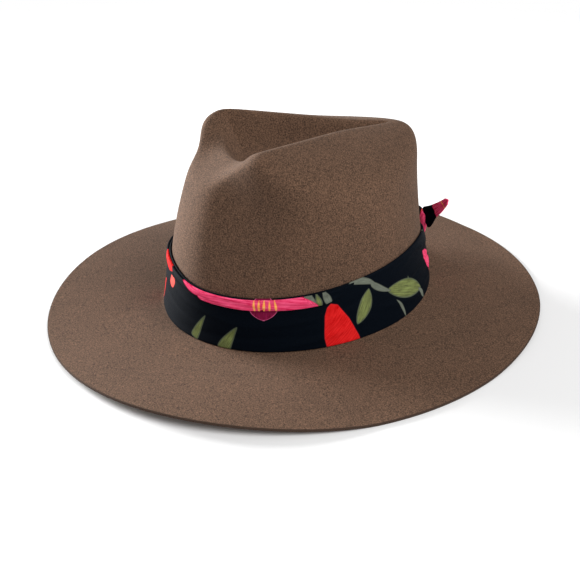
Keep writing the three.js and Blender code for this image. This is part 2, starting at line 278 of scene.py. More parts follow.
def brim(around, out):
    """Brim's top face: from the leaned foot of the wall straight out to an oval edge; its height
    goes from the foot's to the edge's as a power of the way out."""
    foot = lean(wall(around, np.zeros_like(around)))
    angle = np.arctan2(foot[..., 0], -foot[..., 1])
    radius = oval_radius(angle, BRIM_HALF_WIDTH, BRIM_HALF_LENGTH)
    edge = polar(radius, angle, brim_edge_height(angle))
    point = foot + (edge - foot) * out[..., None]
    point[..., 2] = foot[..., 2] + (edge[..., 2] - foot[..., 2]) * out**BRIM_CURVE
    return point


def grid_faces(rows, columns, wrap_rows=False):
    """Quads of a grid whose columns wrap round, and its rows too where that is asked for."""
    i = np.arange(rows if wrap_rows else rows - 1)[:, None]
    j = np.arange(columns)[None, :]
    a = i * columns + j
    b = i * columns + (j + 1) % columns
    c = ((i + 1) % rows) * columns + (j + 1) % columns
    d = ((i + 1) % rows) * columns + j
    return np.stack([a, b, c, d], -1).reshape(-1, 4)


def end_fans(rows, columns):
    """Triangles that close both ends of a grid whose columns wrap round, each to one point. The
    two points come after the grid's own."""
    j = np.arange(columns)
    ahead = (j + 1) % columns
    total = rows * columns
    last = total - columns
    first_fan = np.stack([np.full(columns, total), ahead, j], -1)
    last_fan = np.stack([np.full(columns, total + 1), last + j, last + ahead], -1)
    return np.concatenate([first_fan, last_fan])


def make_piece(name, points, quads, triangles=(), uv=None, values=None):
    """A mesh object at the origin from points in millimetres, with smooth faces turned outwards,
    an optional UV map given per point and named values per point."""
    places = np.asarray(points).reshape(-1, 3) * MILLIMETRE
    faces = [tuple(face) for face in np.asarray(quads).tolist()]
    faces += [tuple(face) for face in np.asarray(triangles, int).reshape(-1, 3).tolist()]
    mesh = bpy.data.meshes.new(name)
    mesh.from_pydata(places.tolist(), [], faces)
    mesh.update()
    a, b, c = (places[np.array([face[i] for face in faces])] for i in range(3))
    d = places[np.array([face[-1] for face in faces])]
    volume = (a * (np.cross(b, c) + np.cross(c, d))).sum()
    if volume < 0:
        mesh.flip_normals()
    mesh.polygons.foreach_set("use_smooth", np.ones(len(mesh.polygons), bool))
    if uv is not None:
        corner = np.empty(len(mesh.loops), int)
        mesh.loops.foreach_get("vertex_index", corner)
        layer = mesh.uv_layers.new(name="cloth")
        layer.data.foreach_set("uv", np.asarray(uv, float).reshape(-1, 2)[corner].ravel())
    for key, value in (values or {}).items():
        channel = mesh.attributes.new(key, "FLOAT", "POINT")
        channel.data.foreach_set("value", np.asarray(value, float).ravel())
    mesh.update()
    obj = bpy.data.objects.new(name, mesh)
    bpy.context.scene.collection.objects.link(obj)
    return obj


def make_tube(name, points, ends, uv, values):
    """A piece from rows of points that wrap round, closed by one point at each end, which takes
    the cloth place, where there is one, and the values of the row beside it."""
    rows, columns = points.shape[:2]
    beside = [0, -1]
    if uv is not None:
        uv = uv.reshape(-1, 2)
        uv = np.concatenate([uv, uv[beside]])
    values = {key: np.r_[value.ravel(), value.ravel()[beside]] for key, value in values.items()}
    points = np.concatenate([points.reshape(-1, 3), ends])
    quads = grid_faces(rows, columns)
    return make_piece(name, points, quads, end_fans(rows, columns), uv, values)


def dress(obj, node, material):
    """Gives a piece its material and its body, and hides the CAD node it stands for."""
    obj.data.materials.append(material)
    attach(obj, "root")
    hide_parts(node)


# Columns and rows of the felt's skin: down the wall, round the break, out along the brim and
# over the raw edge
FELT_COLUMNS = 320
WALL_ROWS = 100
BREAK_ROWS = 10
BRIM_ROWS = 36
EDGE_ROWS = 9
# Up values: how far from the crease's middle the rows start, and where the denser rows at the
# wall's foot take over
MIDDLE_GAP = 0.12
WALL_END = 0.3
BREAK_START = 0.26
# The raw edge is a rounded square: the power of its sine and cosine, and how far it bows out
EDGE_POWER = 0.55
EDGE_BOW = 0.8


def grid_normals(points):
    """Normals of a grid of points whose columns wrap: the cross product of the central
    differences down the rows and round the columns, turned outwards."""
    down = np.gradient(points, axis=0)
    along = np.roll(points, -1, 1) - np.roll(points, 1, 1)
    return unit(np.cross(down, along))


def felt_outer_face():
    """The felt's outer face: rows down the wall and round the break, and rows out along the
    brim."""
    around = np.arange(FELT_COLUMNS)[None, :] / FELT_COLUMNS
    down_wall = np.linspace(RINGS - MIDDLE_GAP, WALL_END, WALL_ROWS)
    ups = np.r_[down_wall, np.linspace(BREAK_START, 0, BREAK_ROWS)][:, None]
    outs = np.linspace(0, 1, BRIM_ROWS + 1)[1:, None]
    return lean(wall(*np.broadcast_arrays(around, ups))), brim(*np.broadcast_arrays(around, outs))


def raw_edge(rim, thickness):
    """Rows over the raw cut edge, from the top face's rim to the under face's: a rounded square,
    with the sine and cosine of half a turn, each to a power below one, as its way out and up."""
    out = unit((rim - rim.mean(0)) * LEVEL)
    turn = np.linspace(0, math.pi, EDGE_ROWS)[:, None, None]
    bow = np.abs(np.sin(turn)) ** EDGE_POWER - 1
    rise = np.sign(np.cos(turn)) * np.abs(np.cos(turn)) ** EDGE_POWER - 1
    return rim + out * EDGE_BOW * bow + UP * thickness / 2 * rise


def felt_skin(thickness):
    """The felt's closed skin: its outer face, the raw edge and the inner face one thickness inside.
    Gives rows of points, the two end points, and 1 where a point is on the raw cut, which marks
    where shade is painted."""
    wall_rows, brim_rows = felt_outer_face()
    outer = np.concatenate([wall_rows, brim_rows])
    inner = outer - grid_normals(outer) * thickness
    foot = len(wall_rows) - 1
    outer[foot:, :, 2] = np.maximum(outer[foot:, :, 2], thickness)
    inner[foot:, :, 2] = outer[foot:, :, 2] - thickness
    inner[foot + 1:, :, :2] = outer[foot + 1:, :, :2]
    edge = raw_edge(outer[-1], thickness)
    rows = np.concatenate([outer[:-1], edge, inner[-2:foot:-1], inner[foot::-2]])
    top = lean(crown(np.array([0.0]), np.array([float(RINGS)])))
    # Painted shade: 1 on the raw cut edge's rows, where the felt is darkened to a shade colour
    cut_shade = np.zeros(rows.shape[:2])
    cut_shade[len(outer):len(outer) + EDGE_ROWS - 2] = 1.0
    return rows, np.concatenate([top, top - UP * thickness]), cut_shade


# Steps of the tables that turn angles and lengths back into turns of the crown
TABLE_TURNS = 2001
PATH_TURNS = 1441
# Columns along the band and the fold, and rows up the inner face, down the outer one and round
# each edge of the cloth
BAND_COLUMNS = 860
BAND_ROWS = (12, 50)
FOLD_COLUMNS = 520
FOLD_ROWS = (8, 24)
EDGE_TURN_ROWS = 7
# Shares of a strip's width where its outer and inner faces start
OUTER_INSET = 0.03
INNER_INSET = 0.05


def angle_of(around):
    """Angle from the front, in degrees, of the wall at a turn."""
    point = crown(around, np.ones_like(around))
    return np.degrees(np.arctan2(point[..., 0], CROWN_BACK_SHIFT - point[..., 1]))


def around_at(angle):
    """Turn of the crown at an angle from the front, read back from a fine table."""
    turns = np.linspace(-0.5, 0.5, TABLE_TURNS)
    angles = angle_of(turns)
    angles[0], angles[-1] = -180.0, 180.0
    return np.interp((np.asarray(angle, float) + 180) % 360 - 180, angles, turns)


def gather(angle):
    """1 at the knot and 0 away from it, as a bell curve."""
    away = np.abs((angle - KNOT_ANGLE + 540) % 360 - 180)
    return np.exp(-((away / GATHER_ANGLE) ** 2))


def band_top(angle):
    """Height of the band's top edge at an angle in degrees: a B-spline over the table."""
    place = np.mod(np.asarray(angle, float) / 360, 1) * len(BAND_TOPS)
    step = np.floor(place).astype(int)
    near = BAND_TOPS[(step[..., None] + np.arange(-1, 3)) % len(BAND_TOPS)]
    return (spline_weights(place - step) * near).sum(-1)


def band_height(around, part):
    """Height above the foot of the crown of a part of the band: 0 at its foot, 1 at its top."""
    angle = angle_of(around)
    pull = gather(angle) * GATHER_DEPTH
    foot = BAND_FOOT + GATHER_FOOT * pull
    return foot + (band_top(angle) - pull - foot) * part


def scarf_point(around, part, offset):
    """A point of the scarf at a part of the band's height and an offset from the wall's face;
    towards the foot the cloth stands out by a flare."""
    around, part, offset = np.broadcast_arrays(around, part, offset)
    up = up_at_height(around, band_height(around, part))
    flare = BAND_FLARE * np.clip(1 - part, 0, 1) ** BAND_FLARE_POWER
    return lean(crown(around, up) + outward(around, up) * (GAP + flare + offset)[..., None])


def bulge(part):
    """Thickness of the band's folded cloth at a part of its height."""
    return BAND_CLOTH * (BAND_THIN + (1 - BAND_THIN) * np.sin(np.pi * part))


def even_turns():
    """Turns of the crown that are evenly spaced along the band, and their places along it in
    millimetres from the front, positive towards the wearer's left."""
    turns = np.linspace(-0.5, 0.5, PATH_TURNS)
    path = scarf_point(turns, 0.5, BAND_CLOTH)
    length = np.r_[0, np.cumsum(np.linalg.norm(np.diff(path, axis=0), axis=1))]
    length -= np.interp(0.0, turns, length)
    places = np.linspace(length[0], length[-1], BAND_COLUMNS + 1)[:-1]
    return np.interp(places, length, turns), places


# Creases pressed into the band. Columns: place along the band and height in millimetres, half
# length, half width, slant in degrees and how far the cloth stands out, negative for a groove.
CREASES = np.array([
    (-34, 24, 30, 2.0, 8, 0.45),
    (8, 18, 34, 2.4, -7, -0.4),
    (38, 24, 36, 2.0, -9, 0.42),
    (74, 10, 44, 2.6, 3, -0.45),
    (104, 21, 40, 2.4, 4, 0.4),
    (126, 8, 34, 2.2, 9, 0.45),
    (160, 30, 42, 2.8, 14, -0.45),
    (186, 36, 40, 2.4, 16, 0.55),
    (204, 12, 34, 2.4, -12, 0.55),
    (222, 26, 34, 2.0, 8, -0.7),
    (240, 40, 30, 1.9, -14, 0.8),
    (252, 16, 30, 2.2, 10, 0.8),
    (270, 28, 26, 1.7, -8, -0.9),
    (292, 34, 26, 1.6, -6, 0.9),
    (-286, 18, 26, 1.6, 8, 0.9),
    (-262, 30, 30, 1.8, 12, -0.8),
    (-238, 16, 34, 2.2, -10, 0.7),
    (-206, 28, 40, 2.4, 6, 0.5),
    (-170, 12, 44, 2.6, -5, -0.45),
    (-132, 26, 42, 2.4, 5, 0.45),
    (-90, 14, 44, 2.4, -4, 0.45),
    (-60, 30, 36, 2.2, -6, -0.4),
])

# Motifs of the print, by colour. Columns: where a motif starts and ends as place along the band
# and height in millimetres, its sideways bend, its half width and where along it it is widest.
BAND_PRINT = {
    "moss": [
        (36, 2, 45, 21.5, 0.6, 3.6, 0.12),
        (60, -1, 70, 18, 0.8, 5, 0.12),
        (181, 29, 222, 12.5, 1.2, 7.2, 0.5),
        (206, 20, 205, 30.5, 0.6, 1.9, 0.15),
        (165, 36, 153.5, 12.5, 1.6, 5.4, 0.5),
        (-52, 8, -78, 26, 2, 6, 0.5),
        (-128, 32, -104, 12, -2, 6.5, 0.5),
        (-196, 6, -222, 26, 2, 6.5, 0.45),
    ],
    "sage": [
        (149, 43.5, 171, 37.5, 2.4, 2.5, 0.5),
        (167, 39, 185, 27, -0.8, 2.4, 0.3),
        (218, 14, 225, 2.5, 0.5, 2, 0.5),
        (189, 18.5, 197, 0.5, 1.6, 1.3, 0.5),
        (238, 52, 247, 47, 0.5, 1.6, 0.5),
        (-80, 24, -100, 38, 2, 1.5, 0.5),
        (-160, 4, -130, 30, -3, 1.5, 0.5),
        (-224, 25, -244, 36, 1, 1.5, 0.5),
    ],
    "salmon": [
        (-2, 40.5, 3.5, 26, 0.3, 5.2, 0.72),
        (-268, 10, -258, 34, 1, 6, 0.7),
    ],
    "rose": [
        (234, 36, 262, 6, 1.5, 6.5, 0.55),
        (-150, 40, -178, 24, 2, 8, 0.6),
        (-196, 44, -176, 22, -2, 8, 0.6),
        (-172, 4, -176, 26, 1, 7.5, 0.4),
    ],
    "berry": [
        (87.5, 41, 88.5, 23.6, 0, 10.2, 0.52),
        (-176, 16, -176, 32, 0, 5.5, 0.5),
        (284, 44, 290, 20, 1, 6, 0.5),
    ],
    "red": [
        (-36, 2, -20, 22, -2, 6.5, 0.3),
        (-110, 44, -122, 20, 1.5, 7.5, 0.6),
        (-286, 40, -290, 16, 1, 6, 0.6),
    ],
    "ray": [
        (-178, 30, -183, 36, 0, 0.8, 0.5),
        (-176, 31, -176, 38, 0, 0.8, 0.5),
        (-174, 30, -169, 36, 0, 0.8, 0.5),
    ],
}
FOLD_PRINT = {
    "moss": [
        (124.4, 43, 127.4, 31, 0.3, 2.3, 0.6),
        (-96, 44, -78, 35, 1, 3.4, 0.5),
    ],
    "sage": [
        (117.5, 42.5, 125.5, 31.5, -0.6, 3.4, 0.35),
        (129.5, 43.5, 134.8, 30.5, 0.4, 2.7, 0.5),
        (-118, 44, -98, 38, -1, 1.4, 0.5),
    ],
    "salmon": [],
    "rose": [
        (19, 41.5, 46.5, 36.2, -0.6, 2.8, 0.6),
        (38, 34.6, 92, 34.6, 0.4, 7.5, 0.5),
        (126, 33.5, 84, 36, 0.3, 8.5, 0.5),
        (-52, 46, -74, 36, 1, 4, 0.6),
    ],
    "berry": [],
    "red": [
        (-27, 46.5, 5, 40, -0.6, 3.4, 0.6),
    ],
    "ray": [
        (81.6, 39.5, 82.6, 30, -0.5, 0.85, 0.6),
        (85.2, 39.5, 85.6, 30, -0.3, 0.85, 0.6),
        (88.8, 39.7, 88.8, 30.5, 0, 0.95, 0.6),
        (92.2, 39.7, 92.6, 30.5, 0.3, 0.75, 0.6),
        (95.6, 39.7, 97.2, 31, 0.5, 0.85, 0.6),
    ],
}
# Corners of the red petal with straight sides, round it, as place and height
RED_PETAL = np.array([
    (129.0, 8), (130.2, 24.2), (132.2, 30.2), (135.0, 32.6), (139.9, 31), (147.8, 19),
    (154.0, 4.5), (154.7, 1), (143.0, 0), (130.6, -0.5),
])


# Distances from a print colour are kept between these, in millimetres; the first means that
# none of it is near
FAR = -4.0
DEEP = 4.0
# How full a motif is along its length, as a power of a sine
MOTIF_POWER = 0.7


def wrapped(places, ring):
    """Places along the band brought to within half its length of zero."""
    return (places + ring / 2) % ring - ring / 2


def motif(places, heights, row, ring):
    """One motif's signed distance in millimetres, positive inside, with the share of its length
    and width at each point. It reaches its half width times a power of sin(pi s) to each side of
    a bowed spine, where s is the share of its length, bent to one half at the widest place."""
    x0, y0, x1, y1, bend, half, swell = row
    across, rise = x1 - x0, y1 - y0
    length = math.hypot(across, rise)
    dx = wrapped(places - (x0 + x1) / 2, ring) + across / 2
    dy = heights - y0
    reach = (dx * across + dy * rise) / length**2
    side = (dy * across - dx * rise) / length - bend * 4 * reach * (1 - reach)
    share = np.clip(reach, 0.001, 0.999) ** (math.log(0.5) / math.log(swell))
    width = half * np.sin(np.pi * share) ** MOTIF_POWER
    inside = np.minimum(width - np.abs(side), np.minimum(reach, 1 - reach) * length)
    return inside, reach, side / half


def convex_patch(places, heights, corners, ring):
    """Signed distance to a convex outline, positive inside: the least distance to its sides.
    The corners run clockwise, with the place to the right and the height up."""
    middle = corners.mean(0)
    dx = wrapped(places - middle[0], ring)
    dy = heights - middle[1]
    inside = np.full(places.shape, np.inf)
    for start, end in zip(corners - middle, np.roll(corners, -1, 0) - middle):
        side = end - start
        gap = side[1] * (dx - start[0]) - side[0] * (dy - start[1])
        inside = np.minimum(inside, gap / np.hypot(*side))
    return inside


def printed(places, heights, table, ring, patch=None):
    """Attributes of the print at points of the cloth: each colour's signed distance, and the
    share of the length and width of the motif that is there."""
    values = {"reach": np.zeros(places.shape), "across": np.zeros(places.shape)}
    best = np.full(places.shape, -np.inf)
    for colour, rows in table.items():
        values[colour] = np.full(places.shape, FAR)
        for row in rows:
            inside, reach, side = motif(places, heights, row, ring)
            values[colour] = np.maximum(values[colour], inside)
            nearer = inside > best
            values["reach"] = np.where(nearer, reach, values["reach"])
            values["across"] = np.where(nearer, side, values["across"])
            best = np.maximum(best, inside)
    if patch is not None:
        values["red"] = np.maximum(values["red"], convex_patch(places, heights, patch, ring))
    values["reach"] = np.clip(values["reach"], -1, 2)
    return {key: np.clip(value, FAR, DEEP) for key, value in values.items()}


def strip_loop(low, high, rows):
    """The closed section of a strip of cloth between two parts of the band's height, one column a
    turn: up the inner face, over the top edge, down the outer face and round the foot. Gives the
    part of the band's height, the share of the strip's width, and how much of its thickness each
    row takes."""
    inner = np.linspace(INNER_INSET, 1 - INNER_INSET, rows[0])
    outer = np.linspace(1 - OUTER_INSET, OUTER_INSET, rows[1])
    turn = np.linspace(0, np.pi, EDGE_TURN_ROWS + 2)[1:-1]
    roll = OUTER_INSET * np.sin(turn)
    share = np.r_[inner, 1 - OUTER_INSET + roll, outer, OUTER_INSET - roll][:, None]
    depth = np.r_[0 * inner, (1 - np.cos(turn)) / 2, 1 + 0 * outer, (1 + np.cos(turn)) / 2]
    return low + (high - low) * share, share, depth[:, None]


def fold_part(turns):
    """Part of the band's height where the fold's low edge lies, and how full its ends are."""
    angle = angle_of(turns)
    share = (angle - FOLD_START) / (FOLD_END - FOLD_START)
    ends = np.clip(np.minimum(FOLD_TAPERS[0] * share, FOLD_TAPERS[1] * (1 - share)), 0, 1)
    width = FOLD_NARROW + (FOLD_WIDE - FOLD_NARROW) * np.clip(share, 0, 1) ** FOLD_WIDENING
    return 1 - width / band_top(angle) * ends**FOLD_TAPER_POWER, ends


def creased(places, heights, ring):
    """Height of the band's creases: a sum of bells, long along the slant and narrow across it."""
    total = np.zeros(np.broadcast_shapes(places.shape, heights.shape))
    for place, height, length, width, slant, rise in CREASES:
        angle = math.radians(slant)
        dx, dy = wrapped(places - place, ring), heights - height
        along = dx * math.cos(angle) + dy * math.sin(angle)
        side = dy * math.cos(angle) - dx * math.sin(angle)
        total += rise * np.exp(-((along / length) ** 2) - (side / width) ** 2)
    return total


# Pleats that run into the knot: their height, how many radians a millimetre of height they
# turn, how sharp they are, how fast they fade, and how far and how often they wander
PLEAT_RISE = 0.9
PLEAT_TURN = 0.42
PLEAT_POWER = 0.7
PLEAT_FADE = 1.5
PLEAT_WANDER = 1.1
PLEAT_WAVES = 11
# Long waves in the band's thickness: height, and length as radians a millimetre
BAND_WAVE_RISE = 0.12
BAND_WAVE_TURN = 2 / 19
# Under the fold the band lies flat, from this share of its height below the fold's edge
UNDER_FADE = 0.04
UNDER_ENDS = 4
# Creases fade out at the band's edges, this many times faster than a sine over its height
EDGE_FADE = 3


def pleats(turns, heights):
    """Pleats that run into the knot: ridges across the height that grow towards it."""
    near = gather(angle_of(turns)) ** PLEAT_FADE
    wander = PLEAT_WANDER * np.sin(PLEAT_WAVES * 2 * np.pi * turns)
    return PLEAT_RISE * near * np.abs(np.sin(heights * PLEAT_TURN + wander)) ** PLEAT_POWER


def cloth_places(spread, heights):
    """Cloth coordinates in metres from places along the band and heights in millimetres."""
    return np.stack([spread, heights], -1) * MILLIMETRE


def band_piece():
    """Points, cloth coordinates and print of the band, and its length round the crown."""
    turns, places = even_turns()
    ring = (places[1] - places[0]) * len(places)
    part, share, depth = strip_loop(np.zeros_like(turns), np.ones_like(turns), BAND_ROWS)
    heights = band_height(turns, part)
    low, ends = fold_part(turns)
    under = np.clip((part - low) / UNDER_FADE + 1, 0, 1) * np.clip(ends * UNDER_ENDS, 0, 1)
    inside = np.clip(np.sin(np.pi * share) * EDGE_FADE, 0, 1)
    relief = (creased(places, heights, ring) + pleats(turns, heights)) * inside
    relief = (relief + BAND_WAVE_RISE * np.sin(places * BAND_WAVE_TURN)) * (1 - under)
    points = scarf_point(turns, part, depth * (bulge(share) + relief))
    spread = np.broadcast_to(places, part.shape)
    values = printed(spread, heights, BAND_PRINT, ring, RED_PETAL)
    return points, cloth_places(spread, heights), values, ring


# The fold: how far its ends and its top edge stop short, the share of its columns that are
# drawn towards its ends, how thin its edges are and the power of its puff
FOLD_END_GAP = 0.004
FOLD_TOP = 0.993
FOLD_CROWDING = 0.35
FOLD_THIN = 0.72
FOLD_PUFF_POWER = 0.6
# Soft waves of its thickness. Columns: height, length as millimetres a radian
FOLD_WAVES = ((0.16, 13.0), (0.1, 5.3))
FOLD_WAVE_SLANT = 9


def fold_piece():
    """Points, end points, cloth coordinates and print of the fold over the band's top. Its rows
    go along the band and its columns round the strip's section."""
    even = np.linspace(FOLD_END_GAP, 1 - FOLD_END_GAP, FOLD_COLUMNS)
    crowded = 0.5 - 0.5 * np.cos(np.pi * even)
    along = FOLD_CROWDING * crowded + (1 - FOLD_CROWDING) * even
    turns = around_at(FOLD_START + (FOLD_END - FOLD_START) * along)
    all_turns, all_places = even_turns()
    places = np.interp(turns, all_turns, all_places)
    ring = -2 * all_places[0]
    low, ends = fold_part(turns)
    part, share, depth = strip_loop(low, np.full_like(low, FOLD_TOP), FOLD_ROWS)
    middle = np.sin(np.pi * share)
    puff = FOLD_THIN + (1 - FOLD_THIN) * middle**FOLD_PUFF_POWER
    (long_rise, long_wave), (short_rise, short_wave) = FOLD_WAVES
    soft = 1 + long_rise * np.sin(places / long_wave) * middle
    soft = soft + short_rise * np.sin(places / short_wave + FOLD_WAVE_SLANT * share)
    cloth = (FOLD_CLOTH * ends + LAYER_GAP) * puff * soft
    points = scarf_point(turns, part, bulge(part) + LAYER_GAP + depth * cloth)
    heights = band_height(turns, part)
    spread = np.broadcast_to(places, part.shape)
    values = printed(spread, heights, FOLD_PRINT, ring)
    values = {key: value.T for key, value in values.items()}
    end_points = points[:, [0, -1]].mean(0)
    return points.swapaxes(0, 1), end_points, cloth_places(spread.T, heights.T), values


def knot_frame():
    """Origin and axes of the knot on the wall: along the band, up, and out from the wall."""
    around = around_at(KNOT_ANGLE)
    up = up_at_height(around, np.array(KNOT_HEIGHT))
    out = outward(around, up)
    side = unit(np.cross(UP, out))
    return crown(around, up), np.stack([side, UP, out])


def from_knot(points):
    """Points in the knot's own axes brought to the rest frame."""
    origin, axes = knot_frame()
    return lean(origin + points @ axes)


# Rows from end to end of the knot and columns round it, and how near its ends they start
KNOT_ROWS = 120
KNOT_COLUMNS = 150
KNOT_END_GAP = 0.06
# Folds of the knot, as radians of turn, shift and slant: broad grooves and fine threads
GROOVE_TURN = 2.6
GROOVE_SHIFT = 0.5
GROOVE_SLANT = 0.22
GROOVE_SLANT_SHIFT = 0.6
GROOVE_POWER = 0.6
THREAD_TURN = 9
THREAD_SLANT = 1.3
# Shares of the knot's radius that are whole, in the grooves and in the threads
KNOT_WHOLE = 0.9
KNOT_GROOVE = 0.09
KNOT_THREAD = 0.012
KNOT_SWELL_POWER = 0.8
# Print of the knot as waves over its slant. Columns: swing and middle in millimetres
KNOT_ROSE = (3.2, 1.2)
KNOT_SALMON = (2.0, -1.2)
KNOT_SALMON_SHIFT = 2.2
# Metres of cloth to a radian round the knot and along it
KNOT_CLOTH = (0.02, 0.01)


def knot_piece():
    """The knot: a barrel of cloth wrapped once round, with pleats that run over it and close in
    at both ends. Its radius is the CAD pillow's, less grooves where the pleats meet."""
    tilt = np.linspace(KNOT_END_GAP, np.pi - KNOT_END_GAP, KNOT_ROWS)[:, None]
    turn = np.linspace(0, 2 * np.pi, KNOT_COLUMNS, endpoint=False)[None, :]
    tilt, turn = np.broadcast_arrays(tilt, turn)
    slant = tilt + GROOVE_SLANT * np.sin(turn + GROOVE_SLANT_SHIFT)
    wave = np.sin(GROOVE_TURN * slant + GROOVE_SHIFT)
    groove = KNOT_GROOVE * np.abs(wave) ** GROOVE_POWER
    fine = KNOT_THREAD * np.sin(THREAD_TURN * slant + THREAD_SLANT * np.cos(turn)) * np.sin(tilt)
    swell = np.sin(tilt) ** KNOT_SWELL_POWER * (KNOT_WHOLE + groove + fine)
    half_width, half_height, half_depth = KNOT_HALF
    middle = KNOT_BACK + half_depth
    x = -half_width * np.cos(tilt)
    y = half_height * swell * np.cos(turn)
    z = middle - half_depth * swell * np.sin(turn)
    ends = np.array([[-half_width, 0, middle], [half_width, 0, middle]])
    values = {key: np.full(x.shape, FAR) for key in BAND_PRINT}
    salmon_wave = np.sin(2 * GROOVE_TURN * slant + KNOT_SALMON_SHIFT + turn)
    values["rose"] = KNOT_ROSE[0] * wave + KNOT_ROSE[1]
    values["salmon"] = KNOT_SALMON[0] * salmon_wave + KNOT_SALMON[1]
    values["reach"] = 0.5 + 0.5 * np.sin(turn)
    values["across"] = np.sin(THREAD_TURN * slant)
    uv = np.stack([KNOT_CLOTH[0] * turn, KNOT_CLOTH[1] * tilt], -1)
    return from_knot(np.stack([x, y, z], -1)), from_knot(ends), uv, values


# Stations of the two free ends in the knot's axes. Columns: along the band, up, out, half width,
# and how far the width leans along the band.
LEFT_TAIL = np.array([
    (-8.6, 5.4, 9.2, 8.0, 1.3),
    (-10.6, 7.4, 10.3, 8.8, 1.3),
    (-14.6, 12.6, 12.8, 6.0, 1.3),
    (-18.0, 16.5, 15.0, 4.9, 1.1),
    (-20.8, 20.5, 17.5, 3.7, 0.9),
    (-24.0, 25.2, 19.6, 2.6, 0.8),
])
RIGHT_TAIL = np.array([
    (11.4, -2.5, 8.1, 3.0, 0.0),
    (13.4, -2.9, 8.6, 3.8, 0.0),
    (17.5, -5.5, 11.0, 5.8, -0.1),
    (25.0, -10.0, 13.0, 7.0, -0.2),
    (35.0, -13.0, 16.0, 5.5, -0.2),
    (42.0, -15.0, 18.0, 1.2, -0.2),
])
# Lengths from the root where the rose print and the salmon tip start, and half the width of the
# line of rays between them
TAIL_ROSE = 12.3
TAIL_SALMON = 21.8
TAIL_RAY = 0.3
# Rows along a free end and columns round it
TAIL_ROWS = 150
TAIL_COLUMNS = 72
# The cloth of a free end: its thickness, the shares of it at the middle, towards the folded edge
# and at the very tip, and the power that squares its section
TAIL_CLOTH = 1.5
TAIL_MIDDLE = 0.72
TAIL_EDGE = 0.2
TAIL_TIP = 0.35
TAIL_POWER = 0.6
# How soon it narrows to its tip and how soon its creases rise from its root, in lengths of it
TIP_SHARPNESS = 14
ROOT_RISE = 5
# Creases that fan out from the root: height, waves over the width and turn along the length, and
# the height and place of the ridge beside them
FAN_RISE = 0.28
FAN_WAVES = 7
FAN_TURN = 2.4
RIDGE_RISE = 0.7
RIDGE_PLACE = -0.2
# How far the width leans out from the wall
TAIL_LEAN_OUT = 0.05


def through(stations, places):
    """Values between stations on smooth cubics: Catmull-Rom with the end slopes repeated."""
    before = 2 * stations[:1] - stations[1:2]
    after = 2 * stations[-1:] - stations[-2:-1]
    padded = np.concatenate([before, stations, after])
    step = np.clip(np.floor(places).astype(int), 0, len(stations) - 2)
    t = (places - step)[:, None]
    a, b, c, d = (padded[step + i] for i in range(4))
    return b + 0.5 * t * (c - a + t * (2 * a - 5 * b + 4 * c - d + t * (3 * (b - c) + d - a)))


def tail_print(length, share, side):
    """Print of a free end: a dark root, rose from one length on and a salmon tip past a line of
    rays. The values are lengths past where each colour starts."""
    values = {key: np.full(length.shape, FAR) for key in BAND_PRINT}
    values["rose"] = length - TAIL_ROSE
    values["salmon"] = length - TAIL_SALMON
    values["ray"] = TAIL_RAY - np.abs(length - TAIL_SALMON)
    values["reach"] = share
    values["across"] = side
    return {key: np.clip(value, FAR, DEEP) for key, value in values.items()}


def tail_piece(stations, twist):
    """A free end: a folded strip through its stations, thick at the fold and thin at the cloth's
    edges, with creases that fan out from the knot, and a rounded tip."""
    share = np.linspace(0, 1, TAIL_ROWS)
    line = through(stations, share * (len(stations) - 1))
    spine = line[:, None, :3]
    along = unit(np.gradient(line[:, :3], axis=0))
    lie = np.stack([line[:, 4], np.ones(TAIL_ROWS), np.full(TAIL_ROWS, TAIL_LEAN_OUT)], -1)
    wide = unit(lie - along * (lie * along).sum(-1, keepdims=True))
    thick = np.cross(along, wide)
    turn = np.linspace(0, 2 * np.pi, TAIL_COLUMNS, endpoint=False)[None, :]
    share, turn = np.broadcast_arrays(share[:, None], turn)
    side = np.cos(turn)
    body = np.sign(np.sin(turn)) * np.abs(np.sin(turn)) ** TAIL_POWER
    tip = np.sqrt(np.clip((1 - share) * TIP_SHARPNESS, 0, 1))
    spread = line[:, 3:4] * tip * side
    fan = FAN_RISE * np.sin(FAN_WAVES * side + FAN_TURN * share)
    ridge = RIDGE_RISE * (0.5 - np.abs(side - RIDGE_PLACE))
    lift = np.clip(share * ROOT_RISE, 0, 1) * (fan + ridge + twist * side * share)
    cloth = TAIL_CLOTH * (TAIL_MIDDLE + TAIL_EDGE * side) * (TAIL_TIP + (1 - TAIL_TIP) * tip)
    height = cloth * body + lift * tip
    points = spine + wide[:, None] * spread[..., None] - thick[:, None] * height[..., None]
    ends = np.stack([points[0].mean(0), points[-1].mean(0)])
    length = share * np.linalg.norm(stations[-1, :3] - stations[0, :3])
    values = tail_print(length, share, side)
    return from_knot(points), from_knot(ends), cloth_places(length, spread), values


def node(tree, kind, at, **settings):
    """A shader node at a place in the tree, with its settings and its inputs' values."""
    made = tree.nodes.new(kind)
    made.location = at
    inputs = settings.pop("inputs", {})
    for key, value in settings.items():
        setattr(made, key, value)
    for key, value in inputs.items():
        made.inputs[key].default_value = value
    return made


def link(tree, output, target):
    """Joins a node's output to an input."""
    tree.links.new(output, target)


def set_input(tree, target, value):
    """Gives an input a value, or joins it to the output of another node."""
    if isinstance(value, bpy.types.NodeSocket):
        link(tree, value, target)
    else:
        target.default_value = value


def new_material(name, finish):
    """A node material with its Principled shader, which has the finish's values on its own
    sockets and is joined to the output."""
    material = bpy.data.materials.new(name)
    material.use_nodes = True
    tree = material.node_tree
    tree.nodes.clear()
    shader = node(tree, "ShaderNodeBsdfPrincipled", (300, 0), inputs=finish)
    output = node(tree, "ShaderNodeOutputMaterial", (600, 0))
    link(tree, shader.outputs["BSDF"], output.inputs["Surface"])
    return material, tree, shader


def add_bump(tree, shader, height, strength, distance):
    """Fine relief from a height, on the shader's normal."""
    bump = node(tree, "ShaderNodeBump", (0, -300),
                inputs={"Strength": strength, "Distance": distance})
    link(tree, height, bump.inputs["Height"])
    link(tree, bump.outputs["Normal"], shader.inputs["Normal"])


